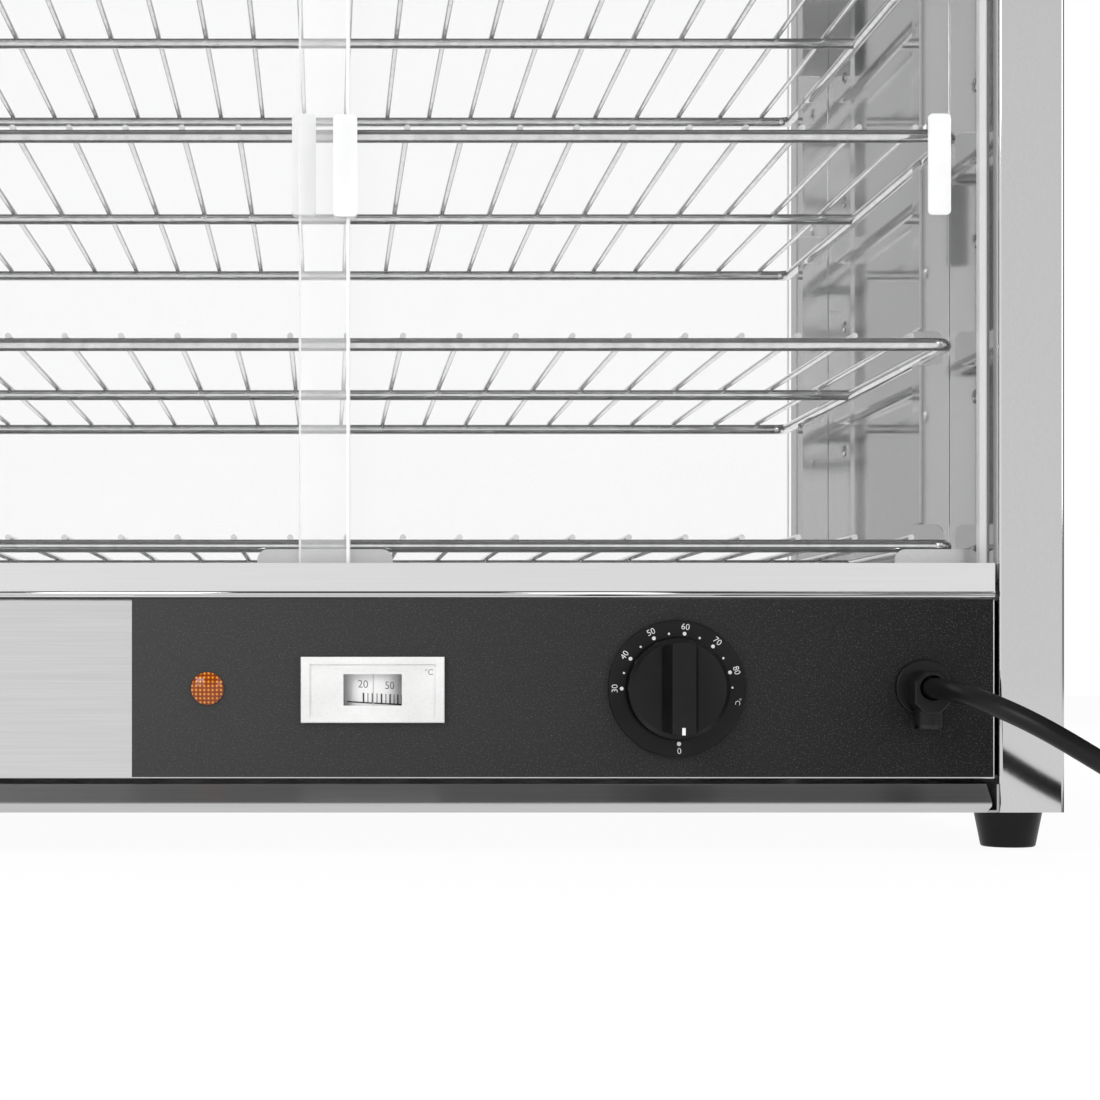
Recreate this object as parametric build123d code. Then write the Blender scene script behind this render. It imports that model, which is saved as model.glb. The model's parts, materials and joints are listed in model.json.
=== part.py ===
from build123d import *
import math
import os

os.makedirs("parts", exist_ok=True)

# All lengths are in millimetres. +X is to the right seen from the operator's side, +Y is to the
# customer's side, +Z is up. The origin is under the middle of the body and its knob, on the table.

# Body and sheet metal
body_width = 660.0
body_depth = 480.0
body_height = 610.0
foot_height = 17.5
steel = 1.2
bend = 0.4
flange_width = 29.4
flange_return = 12.0

# Operator's side, stacked upwards from the underside of the body
tray_slot = 14.9
fascia_height = 81.2
sill_height = 15.2
groove_depth = 6.8
door_height = 406.0
head_overlap = 8.0
lift_room = 7.0
head_height = 27.0
fascia_gap = 1.8
pan_depth = 12.0
pan_edge = 0.8

# Sliding doors, their grooves and grips
glass = 5.0
glass_chamfer = 0.5
glass_play = 0.5
outer_pane = 4.0
pane_pitch = 8.0
track_depth = 26.2
groove_wall = 1.2
door_side_gap = 2.0
left_door_past_middle = 11.3
right_door_past_middle = 11.8
grip_width = 10.8
grip_nose = 3.1
grip_height = 45.5
grip_bottom = 286.2
left_grip_drop = 2.4
grip_corner = 2.0
thin_cheek = 1.1
thick_cheek = 2.0
pull_inset = 16.6
pull_width = 10.2

# Customer's glass
rear_sill_depth = 13.0
rear_ledge = 34.0
rear_glass_gap = 2.6

# Control box, floor and tabs
control_depth = 76.2
floor_gap = 1.5
floor_front = 27.4
tab_height = 22.7
tab_width = 62.0
end_tab_width = 38.5
tab_corner = 5.0
slot_width = 6.0
slot_length = 68.0
slot_pitch = 42.0
slot_row_pitch = 92.0
slot_front = 86.0
slot_rear_room = 20.0
slot_side_room = 40.0

# Racks
rack_wall_gap = 11.4
rack_front = 32.0
rack_middle = 236.0
rack_rear_inset = 55.5
rack_corner = 7.0
frame_wire = 6.0
cross_wire = 5.6
thin_wire = 2.8
wire_pitch = 25.9
wire_side_room = 10.0
wire_weld = 0.5
wire_overhang = 1.0
rack_level_1 = 138.0
rack_level_2 = 230.5
rack_level_3 = 326.1
rack_level_4 = 421.7
rack_shift_1 = -3.0
rack_shift_2 = -3.0
rack_shift_3 = -1.0
rack_shift_4 = 0.0

# Rack posts
post_front = 20.0
post_web = 82.2
post_width = 19.0
post_lip = 15.0
post_lift = 3.0
rear_post_inset = 182.0
notch_height = 16.0
notch_depth = 15.0
notch_corner = 4.0
notch_play = 0.2
rivet_radius = 3.2
rivet_height = 1.3
rivet_inset = 16.0
rivet_first = 135.3
rivet_pitch = 71.7
rivet_count = 6

# Base rails and feet
rail_steel = 1.5
rail_height = 20.0
foot_side_inset = 15.6
foot_inset = 35.0
foot_top_radius = 15.6
foot_bottom_radius = 12.2
foot_edge = 1.2
foot_recess_radius = 7.0
foot_recess = 7.0
screw_radius = 3.0
screw_play = 0.15
screw_head_radius = 5.5
screw_head = 4.0
screw_head_edge = 1.0
screw_length = 18.0
nut_radius = 5.5
nut_height = 4.5

# Crumb tray and its runners
runner_steel = 1.0
runner_ledge = 16.6
runner_height = 12.6
tray_side_gap = 5.8
tray_rear_room = 32.0
tray_wall = 9.0
tray_steel = 1.0
tray_front_gap = 0.4
lip_top = 31.9
lip_nose = 21.4
lip_bottom = 17.5
lip_reach = 11.0

# Heating element
element_radius = 4.0
element_z = 80.0
element_bend = 25.0
element_side_room = 70.6
element_lead_x = 30.0
element_front = 130.0
element_rear_inset = 60.0
element_tail = 60.0
lead_play = 0.3
hanger_width = 12.0
hanger_steel = 1.5
hanger_gap = 0.2
hanger_ledge = 9.0
hanger_first = 200.0
hanger_pitch = 150.0

# Controls on the fascia
control_z = 72.8
overlay_inset = 384.9
overlay_margin = 0.9
overlay_top_margin = 0.1
fascia_groove = 0.9
overlay = 0.4
lamp_inset = 351.2
lamp_radius = 7.25
lamp_dome = 2.4
lamp_rim = 0.8
lamp_body_radius = 5.8
lamp_body_length = 24.0
blade_thickness = 0.8
blade_length = 8.0
blade_width = 4.8
hole_play = 0.3

meter_inset = 277.6
meter_z = 72.2
meter_width = 64.0
meter_height = 29.4
meter_proud = 2.6
meter_edge = 0.7
recess_width = 56.2
recess_height = 23.0
recess_depth = 0.9
window_width = 26.0
window_height = 14.0
window_glass = 0.8
window_rebate = 1.0
case_width = 56.0
case_height = 23.0
case_depth = 48.0
case_wall = 1.5
drum_radius = 20.0
drum_height = 15.0
drum_setback = 1.2
drum_pin = 1.2
pin_play = 0.05

dial_inset = 142.3
dial_radius = 30.4
dial_height = 3.0
dial_pocket_radius = 23.1
dial_pocket = 2.0
dial_edge = 0.5
dial_hole_radius = 8.0
knob_proud = 26.0
knob_radius = 22.4
knob_face_radius = 20.6
knob_face = 13.0
knob_gap = 0.4
ridge_top = 10.4
ridge_base = 16.6
ridge_edge = 0.6
ridge_setback = 0.4
knob_shoulder = 2.0
knob_play = 0.02
knob_hollow = 1.5
spindle_radius = 3.0
spindle_play = 0.05
spindle_flat = 0.8
spindle_reach = 14.0
bush_radius = 4.8
bush_reach = 4.0
spindle_depth = 23.2
thermostat_width = 44.0
thermostat_length = 28.0
thermostat_corner = 3.0
probe_radius = 1.0
bulb_radius = 3.0
bulb_length = 80.0
probe_drop = 16.0
probe_start = 52.0
probe_turn = 16.0

gland_inset = 32.2
gland_z = 73.2
gland_flange_radius = 12.6
gland_flange = 3.0
gland_width = 15.4
gland_height = 19.0
gland_drop = 2.0
gland_facet = 4.6
gland_reach = 18.0
gland_bore = 5.6
gland_seat = 8.0
gland_boss_radius = 6.4
gland_boss = 4.8
gland_barrel_radius = 7.8
gland_barrel = 12.0
clamp_head_radius = 6.3
clamp_head = 2.0
clamp_slot = 1.4
gland_edge = 0.7
locknut_radius = 12.0
locknut_height = 5.0

terminal_inset = 51.6
terminal_width = 34.0
terminal_depth = 16.0
terminal_height = 18.0
terminal_y = 44.0
terminal_well = 5.0
terminal_well_radius = 2.2
core_radius = 1.3
core_pitch = 9.0
core_spread = 3.4
core_bend = 7.0

# Mains cord: bends of its free stretch, right of the gland, behind the fascia's face and up
cord = 9.0
cord_length = 1800.0
cord_floor_gap = 0.1
cord_seat_run = 27.0
cord_bends = (
    (10.4, -60.0, 68.5),
    (28.9, -78.0, 58.2),
    (53.9, -86.0, 42.0),
    (79.4, -86.8, 26.0),
    (103.4, -84.8, 13.8),
    (126.4, -81.2, 6.8),
)
cord_last_run = 16.0
coil_outward = 171.4
coil_ahead = 78.3
coil_radius = 57.46
neighbour_span = 3
turn_pitch = 9.6
layer_pitch = 9.6
inner_half_turns = 5
outer_half_turns = 4
plug_rise = 4.4
plug_rise_run = 32.0
plug_relief_length = 26.0
plug_relief_start = 5.1
plug_relief_radius = 7.5
plug_radius = 18.5
plug_disc = 12.0
plug_length = 44.0
plug_grip_start = 9.5
plug_grip_radius = 13.0
plug_edge = 1.2
plug_pin_radius = 2.4
plug_pin_length = 19.0
plug_pin_tip = 1.5
plug_pin_spacing = 19.0

half_width = body_width / 2
cavity_half = half_width - flange_width
fascia_half = cavity_half - fascia_gap
front = -(body_depth - knob_proud) / 2
back = front + body_depth
underside = foot_height
fascia_bottom = underside + tray_slot
sill_bottom = fascia_bottom + fascia_height
sill_top = sill_bottom + sill_height
groove_floor = sill_top - groove_depth
door_top = groove_floor + door_height
head_bottom = door_top - head_overlap
ceiling = head_bottom + head_height
lid_bottom = body_height - steel
inner_pane = outer_pane + pane_pitch
door_reach = cavity_half - door_side_gap

foot_x = half_width - foot_side_inset
tray_half = cavity_half - tray_side_gap
tray_rear = back - tray_rear_room
element_half_width = cavity_half - element_side_room
element_rear = body_depth - element_rear_inset
post_spacing = body_depth - rear_post_inset - post_front
slot_rows = int((body_depth - slot_rear_room - slot_front) / slot_row_pitch)
slot_columns = 2 * int((cavity_half - slot_side_room) / slot_pitch) + 1

rack_half = cavity_half - rack_wall_gap
rack_rear = body_depth - rack_rear_inset
wire_pairs = int((rack_half - wire_side_room) / wire_pitch + 0.5)
rack_levels = (rack_level_1, rack_level_2, rack_level_3, rack_level_4)
rack_shifts = (rack_shift_1, rack_shift_2, rack_shift_3, rack_shift_4)

overlay_left = fascia_half - overlay_inset
lamp_x = fascia_half - lamp_inset
meter_x = fascia_half - meter_inset
dial_x = fascia_half - dial_inset
gland_x = fascia_half - gland_inset
terminal_x = gland_x - terminal_inset

cord_radius = cord / 2
floor_z = cord_radius + cord_floor_gap
coil_front = front - coil_ahead
coil_x = gland_x + coil_outward
cord_route = [
    (gland_x, front - gland_seat, gland_z),
    (gland_x, front - gland_seat - cord_seat_run, gland_z),
    *[(gland_x + x, front + y, z) for x, y, z in cord_bends],
    (coil_x - cord - cord_last_run, coil_front, floor_z),
    (coil_x - cord, coil_front, floor_z),
]


def block(x, y, z):
    """Box between a low and a high limit on each axis."""
    size = [high - low for low, high in (x, y, z)]
    middle = [(low + high) / 2 for low, high in (x, y, z)]
    return Pos(*middle) * Box(*size)


def patch(u, v):
    """Flat rectangle between a low and a high limit on each of its two axes."""
    middle = ((u[0] + u[1]) / 2, (v[0] + v[1]) / 2)
    return Pos(*middle) * Rectangle(u[1] - u[0], v[1] - v[0])


def along_x(face, start, end):
    """A face drawn in (Y, Z), extruded between two values of X."""
    plane = Plane(origin=(start, 0, 0), x_dir=(0, 1, 0), z_dir=(1, 0, 0))
    return extrude(plane * face, end - start)


def along_y(face, start, end):
    """A face drawn in (X, Z), extruded between two values of Y."""
    plane = Plane(origin=(0, end, 0), x_dir=(1, 0, 0), z_dir=(0, -1, 0))
    return extrude(plane * face, end - start)


def along_z(face, start, end):
    """A face drawn in (X, Y), extruded between two values of Z."""
    return extrude(Plane.XY.offset(start) * face, end - start)


def rod(start, end, radius):
    """Round bar between two points."""
    axis = Vector(*end) - Vector(*start)
    return extrude(Plane(origin=start, z_dir=axis) * Circle(radius), axis.length)


def tube(points, radius, corner):
    """Round bar along straight runs joined by tangent arcs."""
    path = FilletPolyline(*points, radius=corner)
    return sweep(Plane(origin=path @ 0, z_dir=path % 0) * Circle(radius), path=path)


def folded(points, thickness):
    """Section of a sheet folded through the points, lying to the left of the path through them."""
    path = [Vector(*point) for point in points]
    ways = [(b - a).normalized() for a, b in zip(path, path[1:])]
    sides = [Vector(-way.Y, way.X) for way in ways]
    inner = [path[0] + sides[0] * thickness]
    radii = []
    for corner, before, after in zip(path[1:], sides, sides[1:]):
        inner.append(corner + (before + after) * (thickness / (1 + before.dot(after))))
        left_turn = before.cross(after).Z > 0
        radii.append((bend + thickness, bend) if left_turn else (bend, bend + thickness))
    inner.append(path[-1] + sides[-1] * thickness)
    path_radii = [0, *[outside for outside, _ in radii], 0]
    inner_radii = [0, *[inside for _, inside in radii], 0]
    outline = [*path, *reversed(inner)]
    corners = [*path_radii, *reversed(inner_radii)]
    return make_face(FilletPolyline(*outline, radius=corners, close=True))


def mirrored(shape):
    """The same piece for the left side."""
    return mirror(shape, about=Plane.YZ)


def side_panel():
    """Right outer skin with its front and rear flanges and their returns."""
    section = folded(
        [
            (cavity_half, front + flange_return),
            (cavity_half, front),
            (half_width, front),
            (half_width, back),
            (cavity_half, back),
            (cavity_half, back - flange_return),
        ],
        steel,
    )
    return along_z(section, underside, lid_bottom)


def wall_liner():
    """Right inner wall, between the returns of the side panel."""
    return block(
        (cavity_half, cavity_half + steel),
        (front + flange_return, back - flange_return),
        (underside, ceiling + steel),
    )


def foot_places():
    """The four feet's positions, by the name of their corner."""
    return {
        "front_left": (-foot_x, front + foot_inset),
        "front_right": (foot_x, front + foot_inset),
        "rear_left": (-foot_x, back - foot_inset),
        "rear_right": (foot_x, back - foot_inset),
    }


def base_rail():
    """Right channel that closes the side's underside and carries two feet."""
    low = cavity_half + steel
    high = half_width - steel
    section = folded(
        [
            (low, underside + rail_height),
            (low, underside),
            (high, underside),
            (high, underside + rail_height),
        ],
        rail_steel,
    )
    rail = along_y(section, front + steel + bend, back - steel - bend)
    for y in (front + foot_inset, back - foot_inset):
        hole = rod((foot_x, y, 0), (foot_x, y, underside + rail_height), screw_radius + screw_play)
        rail -= hole
    return rail


def fascia_holes():
    """Cutters for the lamp, thermometer, thermostat and gland, through the fascia."""
    near = front - dial_height
    far = front + pan_depth
    return [
        rod((lamp_x, near, control_z), (lamp_x, far, control_z), lamp_body_radius + hole_play),
        rod((dial_x, near, control_z), (dial_x, far, control_z), bush_radius + hole_play),
        rod((gland_x, near, gland_z), (gland_x, far, gland_z), gland_barrel_radius + hole_play),
        block(
            (meter_x - case_width / 2 - hole_play, meter_x + case_width / 2 + hole_play),
            (near, far),
            (meter_z - case_height / 2 - hole_play, meter_z + case_height / 2 + hole_play),
        ),
    ]


def pan(bottom, facing_front):
    """Shallow sheet pan across the body, open to the inside."""
    outer_y = (front, front + pan_depth) if facing_front else (back - pan_depth, back)
    inner_y = (outer_y[0] + steel, outer_y[1]) if facing_front else (outer_y[0], outer_y[1] - steel)
    top = sill_bottom - (fascia_groove if facing_front else 0)
    shell = block((-fascia_half, fascia_half), outer_y, (bottom, top))
    face = shell.faces().sort_by(Axis.Y)[0 if facing_front else -1]
    shell = fillet(face.edges(), pan_edge)
    inner_x = (steel - fascia_half, fascia_half - steel)
    return shell - block(inner_x, inner_y, (bottom + steel, top - steel))


def front_fascia():
    """Control fascia of the operator's side."""
    panel = pan(fascia_bottom, True)
    for hole in fascia_holes():
        panel -= hole
    return panel


def fascia_overlay():
    """Black sheet on the fascia, inside its folded edge."""
    sheet = block(
        (overlay_left, fascia_half - overlay_margin),
        (front - overlay, front),
        (fascia_bottom + overlay_margin, sill_bottom - fascia_groove - overlay_top_margin),
    )
    for hole in fascia_holes():
        sheet -= hole
    return sheet


def rear_fascia():
    """Plain lower panel of the customer's side, with the ledge that carries the floor."""
    ledge = block(
        (-fascia_half, fascia_half),
        (back - rear_ledge, back - pan_depth),
        (sill_bottom - steel, sill_bottom),
    )
    return pan(underside, False) + ledge


def control_box():
    """Channel that closes off the electrics from the heated space."""
    section = folded(
        [
            (front + pan_depth, fascia_bottom),
            (front + control_depth, fascia_bottom),
            (front + control_depth, sill_bottom),
            (front + pan_depth, sill_bottom),
        ],
        steel,
    )
    box = along_x(section, -cavity_half, cavity_half)
    near = front + control_depth - 2 * steel
    far = front + control_depth + steel
    for x in (-element_lead_x, element_lead_x):
        box -= rod((x, near, element_z), (x, far, element_z), element_radius + lead_play)
    probe_z = sill_bottom - probe_drop
    for x in (dial_x, meter_x):
        box -= rod((x, near, probe_z), (x, far, probe_z), probe_radius + lead_play)
    return box


def tab(low, high):
    """Upstanding locating tab with rounded upper corners."""
    near = front + floor_front
    piece = block((low, high), (near, near + steel), (sill_bottom, sill_bottom + tab_height))
    corners = piece.edges().filter_by(Axis.Y).group_by(Axis.Z)[-1]
    return fillet(corners, tab_corner)


def heat_deflector():
    """Perforated floor over the heating element, with tabs behind the sill."""
    half = cavity_half - floor_gap
    floor_y = (front + floor_front, back - rear_sill_depth)
    plate = block((-half, half), floor_y, (sill_bottom, sill_bottom + steel))
    for row in range(slot_rows):
        y = front + slot_front + row * slot_row_pitch
        for column in range(slot_columns):
            x = (column - (slot_columns - 1) / 2) * slot_pitch
            slot = Pos(x, y + slot_length / 2) * SlotOverall(slot_length, slot_width, rotation=90)
            plate -= along_z(slot, sill_bottom - steel, sill_bottom + 2 * steel)
    end_tab = tab(half - end_tab_width, half)
    return plate + tab(-tab_width / 2, tab_width / 2) + end_tab + mirrored(end_tab)


def groove(pane, low, high):
    """Section of the slot for a pane whose near face lies at pane."""
    return patch((pane - glass_play, pane + glass + glass_play), (low, high))


def front_sill():
    """Lower door track with two grooves, and a hollow underside."""
    section = patch((0, track_depth), (sill_bottom, sill_top))
    for pane in (outer_pane, inner_pane):
        section -= groove(pane, groove_floor, sill_top)
    grooves_end = inner_pane + glass + glass_play + groove_wall
    section -= patch((groove_wall, grooves_end), (sill_bottom, groove_floor - groove_wall))
    section -= patch((grooves_end, track_depth - groove_wall), (sill_bottom, sill_top - groove_wall))
    return along_x(Pos(front) * section, -fascia_half, fascia_half)


def front_head():
    """Upper door track, deep enough for the panes to be lifted out."""
    section = patch((0, track_depth), (head_bottom, ceiling))
    slot_top = door_top + lift_room
    for pane in (outer_pane, inner_pane):
        section -= groove(pane, head_bottom, slot_top)
    section -= patch((groove_wall, track_depth - groove_wall), (slot_top + groove_wall, ceiling))
    return along_x(Pos(front) * section, -fascia_half, fascia_half)


def rear_channel(low, high, slot_low, slot_high):
    """Channel that holds an edge of the customer's glass."""
    section = patch((-rear_sill_depth, 0), (low, high))
    section -= groove(-outer_pane - glass, slot_low, slot_high)
    return along_x(Pos(back) * section, -fascia_half, fascia_half)


def rear_glass():
    """Fixed pane of the customer's side."""
    half = cavity_half - rear_glass_gap
    depth = (back - outer_pane - glass, back - outer_pane)
    pane = block((-half, half), depth, (groove_floor, door_top))
    return chamfer(pane.edges(), glass_chamfer)


def canopy():
    """Top lid with its front and rear bands."""
    lid = block((-half_width, half_width), (front, back), (lid_bottom, body_height))
    lid = fillet(lid.edges().filter_by(Axis.Z), bend + steel)
    lid = fillet(lid.faces().sort_by(Axis.Z)[-1].edges(), pan_edge)
    section = folded([(front, lid_bottom), (front, ceiling), (front + pan_depth, ceiling)], steel)
    band = along_x(section, -fascia_half, fascia_half)
    rear_band = mirror(band, about=Plane.XZ.offset(-(front + back) / 2))
    return lid + band + rear_band


def ceiling_liner():
    """Inner ceiling, between the walls and behind the bands' returns."""
    depth = (front + pan_depth, back - pan_depth)
    return block((-cavity_half, cavity_half), depth, (ceiling, ceiling + steel))


def left_edges():
    """X limits of the left door's pane."""
    return -door_reach, left_door_past_middle


def right_edges():
    """X limits of the right door's pane."""
    return -right_door_past_middle, door_reach


def door(edges, pane):
    """Glass pane of a sliding door."""
    piece = block(edges, (front + pane, front + pane + glass), (groove_floor, door_top))
    return chamfer(piece.edges(), glass_chamfer)


def edge_grip(edge, side, pane, near_cheek, bottom):
    """Grip clipped over a door's inner edge; side is +1 where the edge faces +X."""
    limits = sorted((edge + side * grip_nose, edge + side * (grip_nose - grip_width)))
    y = (front + pane - near_cheek, front + pane + glass + thin_cheek)
    piece = block(limits, y, (bottom, bottom + grip_height))
    piece = fillet(piece.edges().filter_by(Axis.Y), grip_corner)
    held = sorted((edge, edge - side * grip_width))
    return piece - block(held, (front + pane, front + pane + glass), (0, body_height))


def pull(edge, side, pane, near_cheek, bottom):
    """Flat pull stuck on a door near its outer edge."""
    middle = edge + side * (pull_inset + pull_width / 2)
    piece = block(
        (middle - pull_width / 2, middle + pull_width / 2),
        (front + pane - near_cheek, front + pane),
        (bottom, bottom + grip_height),
    )
    return fillet(piece.edges().filter_by(Axis.Y), grip_corner)


def grips(edges, side, pane, near_cheek, bottom):
    """Both grips of a door whose outer edge comes first; side is +1 on the left door."""
    outer_edge, inner_edge = edges
    clip = edge_grip(inner_edge, side, pane, near_cheek, bottom)
    return Compound(children=[clip, pull(outer_edge, side, pane, near_cheek, bottom)])


def rack():
    """Wire rack at height 0: frame rod, cross rail and front-to-back wires, welded."""
    corners = [
        (-rack_half, front + rack_front, 0),
        (rack_half, front + rack_front, 0),
        (rack_half, front + rack_rear, 0),
        (-rack_half, front + rack_rear, 0),
    ]
    outline = FilletPolyline(*corners, radius=rack_corner, close=True)
    start = Plane(origin=outline @ 0, z_dir=outline % 0)
    frame = sweep(start * Circle(frame_wire / 2), path=outline)
    cross_y = front + rack_middle
    pieces = [rod((-rack_half, cross_y, 0), (rack_half, cross_y, 0), cross_wire / 2)]
    wire_z = frame_wire / 2 + thin_wire / 2 - wire_weld
    for pair in range(wire_pairs):
        for side in (-1, 1):
            x = side * wire_pitch * (pair + 0.5)
            near = front + rack_front - wire_overhang
            far = front + rack_rear + wire_overhang
            ends = (x, near, wire_z), (x, far, wire_z)
            pieces.append(rod(*ends, thin_wire / 2))
    return frame.fuse(*pieces)


def post(offset):
    """Right notched rack post whose flange starts at post_front + offset."""
    near = front + post_front + offset
    web = front + post_web + offset
    section = folded(
        [
            (cavity_half, near),
            (cavity_half, web),
            (cavity_half - post_width, web),
            (cavity_half - post_width, web - post_lip),
        ],
        steel,
    )
    piece = along_z(section, sill_bottom + steel + post_lift, ceiling)
    for level in rack_levels:
        low = level - frame_wire / 2 - notch_play
        cutter = block(
            (cavity_half - post_width - steel, cavity_half - post_width + notch_depth),
            (web - post_lip - steel, web + steel),
            (low, low + notch_height),
        )
        cutter = fillet(cutter.edges().filter_by(Axis.Y).group_by(Axis.X)[-1], notch_corner)
        piece -= cutter
    return piece


def rivets():
    """Rivet heads of the four posts."""
    dome = Pos(0, 0, rivet_height - rivet_radius * 2) * Sphere(rivet_radius * 2)
    dome &= Cylinder(rivet_radius, rivet_height, align=(Align.CENTER, Align.CENTER, Align.MIN))
    heads = []
    for offset in (0, post_spacing):
        y = front + post_front + rivet_inset + offset
        for index in range(rivet_count):
            z = rivet_first + index * rivet_pitch
            head = Pos(cavity_half - steel, y, z) * Rot(0, -90, 0) * dome
            heads += [head, mirrored(head)]
    return Compound(children=heads)


def foot(x, y):
    """Tapered rubber foot with a recess for its screw."""
    body = Pos(x, y, foot_height / 2) * Cone(foot_bottom_radius, foot_top_radius, foot_height)
    body = fillet(body.edges().group_by(Axis.Z)[0], foot_edge)
    body -= rod((x, y, 0), (x, y, foot_recess), foot_recess_radius)
    return body - rod((x, y, 0), (x, y, foot_height), screw_radius + screw_play)


def foot_screw(x, y):
    """Screw from the foot's recess up through the base rail, with its nut."""
    head = rod((x, y, foot_recess - screw_head), (x, y, foot_recess), screw_head_radius)
    head = chamfer(head.edges().group_by(Axis.Z)[0], screw_head_edge)
    shank = rod((x, y, foot_recess), (x, y, foot_recess + screw_length), screw_radius)
    nut_z = underside + rail_steel
    nut = along_z(Pos(x, y) * RegularPolygon(nut_radius, 6), nut_z, nut_z + nut_height)
    return head + shank + nut


def tray_runner():
    """Right angle that carries the crumb tray."""
    section = folded(
        [
            (cavity_half - runner_ledge, underside),
            (cavity_half, underside),
            (cavity_half, underside + runner_height),
        ],
        runner_steel,
    )
    return along_y(section, front, back - pan_depth)


def crumb_tray():
    """Pull-out tray with a folded lip under the fascia."""
    tray_z = underside + runner_steel
    near = front + tray_front_gap + tray_steel
    height = (tray_z, tray_z + tray_wall)
    bottom = block((-tray_half, tray_half), (near, tray_rear), (tray_z, tray_z + tray_steel))
    rear = block((-tray_half, tray_half), (tray_rear - tray_steel, tray_rear), height)
    side = block((tray_half - tray_steel, tray_half), (near, tray_rear), height)
    lip = folded(
        [
            (near, tray_z),
            (near, lip_top),
            (front - lip_reach, lip_nose),
            (front - tray_front_gap, lip_bottom),
        ],
        tray_steel,
    )
    return bottom + rear + side + mirrored(side) + along_x(lip, -tray_half, tray_half)


def heating_element():
    """Tubular element: one loop around the chamber, with both leads into the control box."""
    stations = [
        (element_lead_x, element_tail),
        (element_lead_x, element_front),
        (element_half_width, element_front),
        (element_half_width, element_rear),
        (-element_half_width, element_rear),
        (-element_half_width, element_front),
        (-element_lead_x, element_front),
        (-element_lead_x, element_tail),
    ]
    points = [(x, front + y, element_z) for x, y in stations]
    return tube(points, element_radius, element_bend)


def element_hangers():
    """Strips that hang the element from the perforated floor."""
    outer_x = element_half_width + element_radius + hanger_gap + hanger_steel
    ledge_z = element_z - element_radius - hanger_gap - hanger_steel
    inner_x = outer_x - hanger_steel - hanger_ledge
    section = folded([(inner_x, ledge_z), (outer_x, ledge_z), (outer_x, sill_bottom)], hanger_steel)
    strips = []
    for station in (hanger_first, hanger_first + hanger_pitch):
        strip = along_y(section, front + station, front + station + hanger_width)
        strips += [strip, mirrored(strip)]
    return Compound(children=strips)


def thermostat_body():
    """Thermostat housing behind the fascia with its threaded bush."""
    half = thermostat_width / 2
    housing = block(
        (dial_x - half, dial_x + half),
        (front + steel, front + steel + thermostat_length),
        (control_z - half, control_z + half),
    )
    housing = fillet(housing.edges().filter_by(Axis.Y), thermostat_corner)
    mouth = (dial_x, front - bush_reach, control_z)
    bush = rod(mouth, (dial_x, front + steel, control_z), bush_radius)
    bore = rod(mouth, (dial_x, front + spindle_depth, control_z), spindle_radius + spindle_play)
    return housing + bush - bore


def thermostat_spindle():
    """Shaft from inside the housing to inside the knob, with a flat at its outer end."""
    near = front - spindle_reach
    shaft = rod((dial_x, near, control_z), (dial_x, front + spindle_depth, control_z), spindle_radius)
    flat = block(
        (dial_x - spindle_radius, dial_x + spindle_radius),
        (near, front - bush_reach),
        (control_z + spindle_radius - spindle_flat, control_z + spindle_radius),
    )
    return shaft - flat


def dial_ring():
    """Flat black ring with a pocket for the knob."""
    seat = front - overlay
    ring = rod((dial_x, seat - dial_height, control_z), (dial_x, seat, control_z), dial_radius)
    ring = fillet(ring.edges().group_by(Axis.Y)[0], dial_edge)
    pocket = rod(
        (dial_x, seat - dial_height, control_z),
        (dial_x, seat - dial_height + dial_pocket, control_z),
        dial_pocket_radius,
    )
    hole = rod((dial_x, seat - dial_height, control_z), (dial_x, seat, control_z), dial_hole_radius)
    return ring - pocket - hole


def thermostat_knob():
    """Round knob with a drafted grip ridge across its face."""
    base = front - overlay - dial_height + dial_pocket - knob_gap
    face = front - knob_face
    top = front - knob_proud

    def turned(near, far, radius):
        return rod((dial_x, near, control_z), (dial_x, far, control_z), radius)

    skirt = turned(face + knob_shoulder, base, knob_radius)
    shoulder = Rot(90, 0, 0) * Cone(knob_radius, knob_face_radius, knob_shoulder)
    shoulder = Pos(dial_x, face + knob_shoulder / 2, control_z) * shoulder
    root = face + knob_shoulder / 2
    flank = (ridge_base / 2, root), (ridge_top / 2, top)
    profile = Polyline(*flank, (-ridge_top / 2, top), (-ridge_base / 2, root), close=True)
    ridge = Pos(dial_x) * make_face(profile)
    ridge = along_z(ridge, control_z - knob_radius, control_z + knob_radius)
    ridge = fillet(ridge.faces().sort_by(Axis.Y)[0].edges(), ridge_edge)
    ridge &= turned(top, root, knob_face_radius - ridge_setback)
    bore = turned(front - spindle_reach, base, spindle_radius + knob_play)
    hollow = turned(front - bush_reach - knob_hollow, base, bush_radius + knob_hollow)
    return skirt + shoulder + ridge - bore - hollow


def probe(x):
    """Capillary from an instrument through the control box to a bulb in the heated space."""
    bulb_x = x - bulb_length / 2
    z = sill_bottom - probe_drop
    start_y = front + probe_start
    turn_y = front + control_depth + probe_turn
    points = [(x, start_y, z), (x, turn_y, z), (bulb_x, turn_y + probe_turn, z)]
    capillary = tube(points, probe_radius, probe_turn / 2)
    way = (Vector(*points[-1]) - Vector(*points[-2])).normalized()
    bulb_start = Vector(*points[-1])
    return capillary + rod(bulb_start, bulb_start + way * bulb_length, bulb_radius)


def pilot_lens():
    """Amber lens: a low dome on a rim."""
    seat = front - overlay
    base = seat - lamp_rim
    top = base - lamp_dome
    rim = rod((lamp_x, base, control_z), (lamp_x, seat, control_z), lamp_radius)
    sphere_radius = (lamp_radius**2 + lamp_dome**2) / (2 * lamp_dome)
    dome = Pos(lamp_x, top + sphere_radius, control_z) * Sphere(sphere_radius)
    dome &= rod((lamp_x, top, control_z), (lamp_x, base, control_z), lamp_radius)
    return rim + dome


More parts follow.
